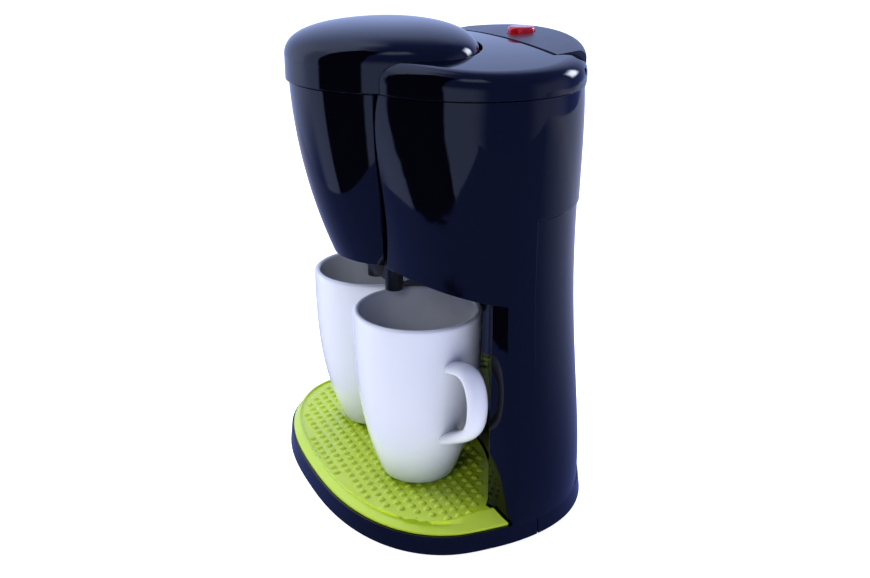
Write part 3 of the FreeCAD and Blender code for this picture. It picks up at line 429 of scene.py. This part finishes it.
@dataclass
class DripTray:
    """Lime tray whose bumps are round studs. Sizes in millimetres."""

    field_z: float = 16.2
    pitch: float = 5.65
    stud: float = 1.75
    stud_height: float = 1.2
    half_width: float = 93.0
    half_depth: float = 70.0
    waist: float = -8.0
    fullness: float = 2.45
    margin: float = 7.6
    rim: float = 9.7
    rim_shift: float = 4.6
    rim_end_y: float = -14.0
    rim_fade: float = 14.0
    rim_outside: float = 3.0
    rim_inside: float = 0.7
    slack: float = 0.05
    flat: float = 0.01
    edge_width: float = 0.3
    edge_angle: float = 38.0
    flat_angle: float = 0.6
    stud_sides: int = 20
    halvings: int = 20
    bay_back: float = 22.0
    bay_side_x: float = 80.0
    bay_side_y: float = -6.0
    bay_clear: float = 4.2

    def inside(self, x: float, y: float, inset: float) -> bool:
        """Tells whether a point lies inside the tray's outline, pulled in by an inset.

        Args:
            x: Place across the tray.
            y: Place along it.
            inset: How far the outline is pulled in.

        Returns:
            True inside the outline.
        """
        edge = self.half_depth - inset
        reach = edge - self.waist if y > self.waist else edge + self.waist
        across = abs(x) / (self.half_width - inset)
        return across ** self.fullness + (abs(y - self.waist) / reach) ** self.fullness < 1.0

    def inset(self, x: float, y: float) -> float:
        """Finds how far a point lies inside the tray's outline.

        Args:
            x: Place across the tray.
            y: Place along it.

        Returns:
            The depth inside the outline.
        """
        low, high = 0.0, self.half_depth / 2
        for _ in range(self.halvings):
            middle = (low + high) / 2
            low, high = (middle, high) if self.inside(x, y, middle) else (low, middle)
        return low

    def moved_out(self, x: float, y: float) -> tuple[float, float]:
        """Moves a point of the field's edge out to a narrow rim.

        Args:
            x: Place across the tray.
            y: Place along it.

        Returns:
            The new place.
        """
        old = self.inset(x, y)
        share = (self.rim_end_y - y) / self.rim_fade
        new = old - self.rim_shift * min(max(share, 0.0), 1.0)
        reach = self.half_depth - self.waist if y > self.waist else self.half_depth + self.waist
        wide = (self.half_width - new) / (self.half_width - old)
        return x * wide, self.waist + (y - self.waist) * (reach - new) / (reach - old)

    def spots(self) -> list[tuple[float, float]]:
        """Lays out the square pattern of studs, clear of the rim and the column.

        Returns:
            Middles of the studs.
        """
        sag = self.bay_back - self.bay_side_y
        bay_radius = (self.bay_side_x ** 2 + sag ** 2) / (2 * sag)
        count = int(self.half_width / self.pitch) + 1
        found = []
        for column in range(-count, count):
            for row in range(-count, count):
                x = (column + 0.5) * self.pitch
                y = (row + 0.5) * self.pitch + self.waist
                behind = math.hypot(x, y - self.bay_back + bay_radius) > bay_radius - self.bay_clear
                beside = abs(x) > self.bay_side_x - self.bay_clear and y > self.bay_side_y - self.bay_clear
                if self.inside(x, y, self.margin) and not behind and not beside:
                    found.append((x, y))
        return found

    def studs(self) -> bpy.types.Object:
        """Spins one round stud and sets a copy on every spot.

        Returns:
            All studs as one piece.
        """
        rows = [(self.stud * math.cos(math.radians(d)), self.stud_height * math.sin(math.radians(d)))
                for d in (12, 28, 44, 60, 75)]
        profile = [(self.stud * 1.3, -0.1), (self.stud * 1.08, 0.08)] + rows + [(0.0, self.stud_height)]
        places = self.spots()
        first = spin_profile("tray_studs", profile, places[0], self.field_z, self.stud_sides)
        copies = [first]
        for x, y in places[1:]:
            twin = first.copy()
            twin.data = first.data.copy()
            twin.data.transform(Matrix.Translation(((x - places[0][0]) * MM, (y - places[0][1]) * MM, 0)))
            bpy.context.collection.objects.link(twin)
            copies.append(twin)
        bpy.ops.object.select_all(action="DESELECT")
        for twin in copies:
            twin.select_set(True)
        bpy.context.view_layer.objects.active = first
        bpy.ops.object.join()
        return first

    def pan(self) -> bpy.types.Object:
        """Copies the tray's solid, presses its plain bumps flat, narrows its rim and rounds its edges.

        Returns:
            The pan in object mode.
        """
        solid = frame["nodes"]["drip_tray"]
        pan = bpy.data.objects.new("tray_pan", solid.data.copy())
        bpy.context.collection.objects.link(pan)
        bpy.ops.object.select_all(action="DESELECT")
        pan.select_set(True)
        bpy.context.view_layer.objects.active = pan
        bpy.ops.object.mode_set(mode="EDIT")
        bpy.ops.mesh.select_all(action="SELECT")
        bpy.ops.mesh.remove_doubles(threshold=SEAM_GAP)
        bpy.ops.object.mode_set(mode="OBJECT")
        level = self.field_z * MM
        for vertex in pan.data.vertices:
            x, y, z = (value / MM for value in vertex.co)
            if z < self.field_z - self.slack or not self.inside(x, y, self.rim - self.rim_outside):
                continue
            if self.inside(x, y, self.rim + self.rim_inside):
                vertex.co.z = level
            else:
                x, y = self.moved_out(x, y)
                vertex.co.x, vertex.co.y = x * MM, y * MM
        bpy.ops.object.mode_set(mode="EDIT")
        bpy.ops.mesh.select_all(action="SELECT")
        bpy.ops.mesh.dissolve_degenerate(threshold=MERGE_GAP)
        bpy.ops.mesh.select_mode(type="FACE")
        bpy.ops.mesh.select_all(action="DESELECT")
        bpy.ops.object.mode_set(mode="OBJECT")
        for face in pan.data.polygons:
            face.select = abs(face.center.z - level) < self.flat * MM
        bpy.ops.object.mode_set(mode="EDIT")
        bpy.ops.mesh.dissolve_limited(angle_limit=math.radians(self.flat_angle))
        bpy.ops.mesh.select_mode(type="VERT")
        bpy.ops.object.mode_set(mode="OBJECT")
        edge = pan.modifiers.new("edge", "BEVEL")
        edge.width = self.edge_width * MM
        edge.segments = 3
        edge.limit_method = "ANGLE"
        edge.angle_limit = math.radians(self.edge_angle)
        apply_modifiers(pan)
        return pan

    def build(self, dressing: "Dressing") -> None:
        """Builds the tray's pan and studs.

        Args:
            dressing: Keeper of the shaders.
        """
        pan = self.pan()
        studs = self.studs()
        for piece in (pan, studs):
            smooth(piece, 50.0)
            finish_piece(piece, dressing.material(LIME), Body.TRAY)
        even = pan.modifiers.new("even_shading", "WEIGHTED_NORMAL")
        even.keep_sharp = True
        apply_modifiers(pan)
        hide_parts("drip_tray")


@dataclass(frozen=True)
class Panel:
    """One wall, lamp or dark opening of the studio. Angles in degrees, as seen from the object."""

    name: str
    azimuth: float
    half_width: float
    soft: float
    low: float
    high: float
    colour: str
    strength: float

    def edge(self, tree: bpy.types.NodeTree, value: bpy.types.NodeSocket, start: float,
             end: float) -> bpy.types.NodeSocket:
        """Fades from nothing to one between two values.

        Args:
            tree: Tree of the surround.
            value: What is measured.
            start: Where the fade starts.
            end: Where it is full.

        Returns:
            The fade.
        """
        fade = add_node(tree, "ShaderNodeMapRange", Value=value, From_Min=start, From_Max=end)
        fade.interpolation_type = "SMOOTHSTEP"
        return fade.outputs["Result"]

    def hang(self, tree: bpy.types.NodeTree, compass: bpy.types.NodeSocket, height: bpy.types.NodeSocket,
             behind: bpy.types.NodeSocket | None, room: str) -> bpy.types.NodeSocket:
        """Lays the panel over what is behind it.

        Args:
            tree: Tree of the surround.
            compass: Level direction of the ray.
            height: Upward part of the ray.
            behind: Light of the panels hung so far, or None for the bare room.
            room: Colour code of the bare room.

        Returns:
            Light with this panel in place.
        """
        turn = math.radians(self.azimuth)
        facing = tree.nodes.new("ShaderNodeVectorMath")
        facing.operation = "DOT_PRODUCT"
        tree.links.new(compass, facing.inputs[0])
        facing.inputs[1].default_value = (math.cos(turn), math.sin(turn), 0)
        inner, outer = (math.cos(math.radians(self.half_width + s * self.soft)) for s in (-1, 1))
        across = self.edge(tree, facing.outputs["Value"], outer, inner)
        below, above = (math.sin(math.radians(self.low + s * self.soft)) for s in (-1, 1))
        rise = self.edge(tree, height, below, above)
        under, over = (math.sin(math.radians(min(self.high + s * self.soft, 90))) for s in (-1, 1))
        fall = self.edge(tree, height, over, under)
        mask = across
        for other in (rise, fall):
            both = tree.nodes.new("ShaderNodeMath")
            both.operation = "MULTIPLY"
            tree.links.new(mask, both.inputs[0])
            tree.links.new(other, both.inputs[1])
            mask = both.outputs["Value"]
        layer = tree.nodes.new("ShaderNodeMix")
        layer.data_type = "RGBA"
        layer.label = self.name
        tree.links.new(mask, layer.inputs["Factor"])
        if behind is None:
            layer.inputs[6].default_value = srgb(room)
        else:
            tree.links.new(behind, layer.inputs[6])
        layer.inputs[7].default_value = tuple(self.strength * v for v in srgb(self.colour))
        return layer.outputs[2]


@dataclass
class Studio:
    """Pale floor, mirrored table, surround, soft lights and camera. Lengths in metres, angles in degrees."""

    eye: tuple[float, float, float] = (0.4698, -0.2111, 0.2911)
    azimuth: float = 65.53
    pitch: float = 20.32
    lens: float = 43.4
    floor_size: float = 14.0
    floor_glow: float = 0.95
    table_front: float = -0.28
    table_size: float = 1.6
    table_fade: tuple[float, float] = (-0.05, 0.45)
    table_slant: tuple[float, float, float] = (-0.8, 0.6, 0.0)
    room: str = "#4f5fae"
    panels: tuple["Panel", ...] = (
        Panel("left_wall", -140, 48, 14, -16, 80, "#b4c2ee", 1.6),
        Panel("rear_wall", 165, 40, 20, -25, 60, "#9fb0e4", 1.4),
        Panel("right_wall", 62, 16, 14, -40, 25, "#8089c4", 1.3),
        Panel("front_wall", -45, 24, 14, -45, 20, "#a4b4ec", 1.2),
        Panel("table_edge", -115, 10, 8, -40, 40, "#a4b4ec", 1.2),
        Panel("doorway", -82, 25, 1.5, -70, 72, "#000000", 1.0),
        Panel("window", 101, 5, 5, 12, 27, "#e6ecff", 10.0),
        Panel("ceiling_lamp", -20, 26, 8, 63, 76, "#d4deff", 1.6),
    )

    def build(self) -> None:
        """Makes the camera, floor, world and lights."""
        self.camera()
        self.floor()
        self.table()
        self.world()
        self.lights()

    def camera(self) -> None:
        """Places the camera at the photograph's viewing angle."""
        turn = math.radians(self.azimuth)
        tilt = math.radians(self.pitch)
        back = Vector((math.sin(turn) * math.cos(tilt), -math.cos(turn) * math.cos(tilt), math.sin(tilt)))
        data = bpy.data.cameras.new("photo_camera")
        data.lens = self.lens
        data.sensor_width = SENSOR_WIDTH_MM
        data.clip_start = 0.01
        eye = bpy.data.objects.new("photo_camera", data)
        eye.location = self.eye
        eye.rotation_euler = back.to_track_quat("Z", "Y").to_euler()
        bpy.context.collection.objects.link(eye)
        bpy.context.scene.camera = eye

    def floor(self) -> None:
        """Lays a wide pale floor."""
        bpy.ops.object.select_all(action="DESELECT")
        bpy.ops.mesh.primitive_plane_add(size=self.floor_size, location=(0, 0, 0))
        ground = bpy.context.object
        ground.name = "studio_floor"
        paper = bpy.data.materials.new("studio_paper")
        paper.use_nodes = True
        shader = paper.node_tree.nodes["Principled BSDF"]
        shader.inputs["Base Color"].default_value = srgb("#f4f5f8")
        shader.inputs["Roughness"].default_value = 0.8
        shader.inputs["Emission Color"].default_value = srgb("#ffffff")
        shader.inputs["Emission Strength"].default_value = self.floor_glow
        ground.data.materials.append(paper)
        ground.visible_glossy = False

    def table(self) -> None:
        """Lays the dim table top that only the glossy surfaces mirror."""
        bpy.ops.object.select_all(action="DESELECT")
        middle = (0.0, self.table_front + self.table_size / 2, 0.0)
        bpy.ops.mesh.primitive_plane_add(size=self.table_size, location=middle)
        top = bpy.context.object
        top.name = "studio_table"
        bpy.ops.object.transform_apply(location=True)
        material = bpy.data.materials.new("studio_table_top")
        material.use_nodes = True
        tree = material.node_tree
        shader = tree.nodes["Principled BSDF"]
        shader.inputs["Base Color"].default_value = srgb("#000000")
        shader.inputs["Specular IOR Level"].default_value = 0.0
        place = add_node(tree, "ShaderNodeTexCoord")
        across = tree.nodes.new("ShaderNodeVectorMath")
        across.operation = "DOT_PRODUCT"
        tree.links.new(place.outputs["Object"], across.inputs[0])
        across.inputs[1].default_value = self.table_slant
        start, end = self.table_fade
        fade = add_node(tree, "ShaderNodeMapRange", Value=across.outputs["Value"], From_Min=start,
                        From_Max=end)
        blend = tree.nodes.new("ShaderNodeMix")
        blend.data_type = "RGBA"
        tree.links.new(fade.outputs["Result"], blend.inputs["Factor"])
        blend.inputs[6].default_value = srgb("#5363b0")
        blend.inputs[7].default_value = srgb("#b6c0ee")
        tree.links.new(blend.outputs[2], shader.inputs["Emission Color"])
        shader.inputs["Emission Strength"].default_value = 1.0
        top.data.materials.append(material)
        top.visible_camera = False
        top.visible_diffuse = False
        top.visible_shadow = False
        top.visible_transmission = False

    def world(self) -> None:
        """Surrounds the object with a dim blue room and its panels."""
        world = bpy.data.worlds.new("studio_world")
        world.use_nodes = True
        tree = world.node_tree
        place = add_node(tree, "ShaderNodeTexCoord")
        height = add_node(tree, "ShaderNodeSeparateXYZ", Vector=place.outputs["Generated"])
        flat = tree.nodes.new("ShaderNodeVectorMath")
        flat.operation = "MULTIPLY"
        tree.links.new(place.outputs["Generated"], flat.inputs[0])
        flat.inputs[1].default_value = (1, 1, 0)
        compass = tree.nodes.new("ShaderNodeVectorMath")
        compass.operation = "NORMALIZE"
        tree.links.new(flat.outputs["Vector"], compass.inputs[0])
        surround = tree.nodes["Background"]
        light = None
        for panel in self.panels:
            light = panel.hang(tree, compass.outputs["Vector"], height.outputs["Z"], light, self.room)
        tree.links.new(light, surround.inputs["Color"])
        bpy.context.scene.world = world

    def lights(self) -> None:
        """Hangs soft lights that fill from the left, from above and a little from the front."""
        self.soft_box("left_fill", (-0.75, -0.75, 0.6), (0.0, 0.0, 0.08), (0.7, 0.7), 8.0, "#eef2ff")
        self.soft_box("overhead", (-0.1, 0.1, 1.2), (0.0, 0.0, 0.1), (0.8, 0.8), 9.0, "#f2f4ff")
        self.soft_box("front_fill", (0.9, -0.9, 0.8), (0.0, 0.0, 0.05), (0.5, 0.5), 3.0, "#f4f6ff")

    def soft_box(self, name: str, place: tuple[float, float, float], aim: tuple[float, float, float],
                 size: tuple[float, float], power: float, colour: str) -> None:
        """Adds one rectangular soft light.

        Args:
            name: Name of the light.
            place: Where it stands, in metres.
            aim: Point that it faces.
            size: Width and height of its face.
            power: Watts.
            colour: Colour code of its light.
        """
        data = bpy.data.lights.new(name, "AREA")
        data.shape = "RECTANGLE"
        data.size, data.size_y = size
        data.energy = power
        data.color = srgb(colour)[:3]
        lamp = bpy.data.objects.new(name, data)
        lamp.location = place
        lamp.rotation_euler = (Vector(place) - Vector(aim)).to_track_quat("Z", "Y").to_euler()
        lamp.visible_glossy = False
        bpy.context.collection.objects.link(lamp)


def main() -> None:
    """Builds the dressed part and its studio in order."""
    logging.basicConfig(level=logging.INFO)
    bpy.context.scene.view_settings.view_transform = "Standard"
    dressing = Dressing()
    dressing.dress()
    log.info("solids dressed")
    mugs = (Mug("mug_right", Body.RIGHT_MUG, 33.4, -21.7, 9.0),
            Mug("mug_left", Body.LEFT_MUG, -33.4, -18.9, 171.0))
    for mug in mugs:
        mug.build(dressing)
        log.info("built %s", mug.node)
    DripTray().build(dressing)
    log.info("built drip tray")
    Studio().build()
    log.info("studio set up")
    log.info("dressed part ready")


if __name__ == "__main__":
    main()
